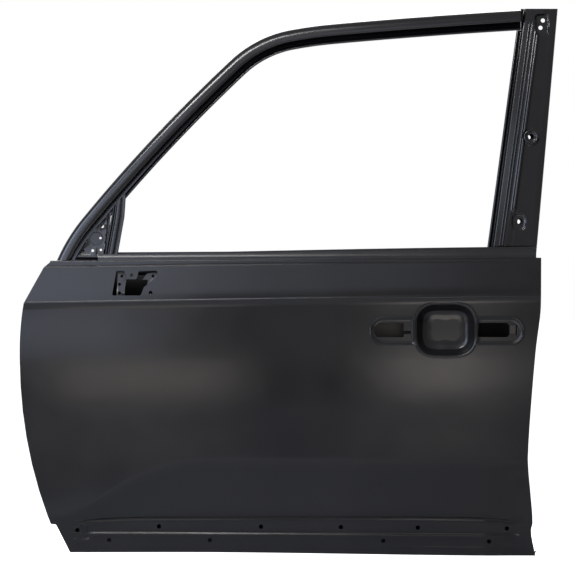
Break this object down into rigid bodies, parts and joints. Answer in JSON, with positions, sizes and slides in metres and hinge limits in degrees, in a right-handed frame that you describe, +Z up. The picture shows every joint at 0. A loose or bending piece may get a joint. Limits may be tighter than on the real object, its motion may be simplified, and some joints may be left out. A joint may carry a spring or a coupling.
{
  "type": "car door shell",
  "caption": "Bare front door shell of a passenger car: stamped outer skin, deep inner panel and window frame in black electrocoat.",
  "frame": {"origin": "centre of the upper hinge face, on the front wall of the inner panel", "axes": "+X from the hinge edge to the latch edge, -Y to the outside of the car, +Z up"},
  "size_m": [1.1346, 0.1884, 1.1545],
  "materials": {
    "e_coat_outer_skin": "semi-gloss black electrocoat",
    "e_coat_inner_panel": "semi-gloss black electrocoat",
    "e_coat_window_frame": "semi-gloss black electrocoat",
    "e_coat_reinforcement": "satin black electrocoat",
    "e_coat_beam_tube": "satin black electrocoat",
    "anti_flutter_sealant": "matte sealant"
  },
  "bodies": {
    "root": {"check_link_reinforcement": "e_coat_reinforcement", "division_bar": "e_coat_window_frame", "division_bar_bracket": "e_coat_reinforcement", "front_sash": "e_coat_window_frame", "front_sash_bracket": "e_coat_reinforcement", "handle_reinforcement": "e_coat_reinforcement", "inner_belt_reinforcement": "e_coat_reinforcement", "inner_panel": "e_coat_inner_panel", "latch_reinforcement": "e_coat_reinforcement", "lower_anti_flutter_pad_1": "anti_flutter_sealant", "lower_anti_flutter_pad_2": "anti_flutter_sealant", "lower_beam_front_bracket": "e_coat_reinforcement", "lower_beam_rear_bracket": "e_coat_reinforcement", "lower_hinge_reinforcement": "e_coat_reinforcement", "lower_hinge_tapping_plate": "e_coat_reinforcement", "lower_impact_beam": "e_coat_beam_tube", "mirror_corner_plate": "e_coat_window_frame", "mirror_reinforcement": "e_coat_reinforcement", "outer_belt_reinforcement": "e_coat_reinforcement", "outer_skin": "e_coat_outer_skin", "rear_glass_guide": "e_coat_window_frame", "rear_guide_bracket": "e_coat_reinforcement", "rear_sash": "e_coat_window_frame", "rear_sash_bracket": "e_coat_reinforcement", "rear_sash_inner": "e_coat_inner_panel", "upper_anti_flutter_pad_1": "anti_flutter_sealant", "upper_anti_flutter_pad_2": "anti_flutter_sealant", "upper_anti_flutter_pad_3": "anti_flutter_sealant", "upper_beam_front_bracket": "e_coat_reinforcement", "upper_beam_rear_bracket": "e_coat_reinforcement", "upper_hinge_reinforcement": "e_coat_reinforcement", "upper_hinge_tapping_plate": "e_coat_reinforcement", "upper_impact_beam": "e_coat_beam_tube"}
  },
  "joints": []
}
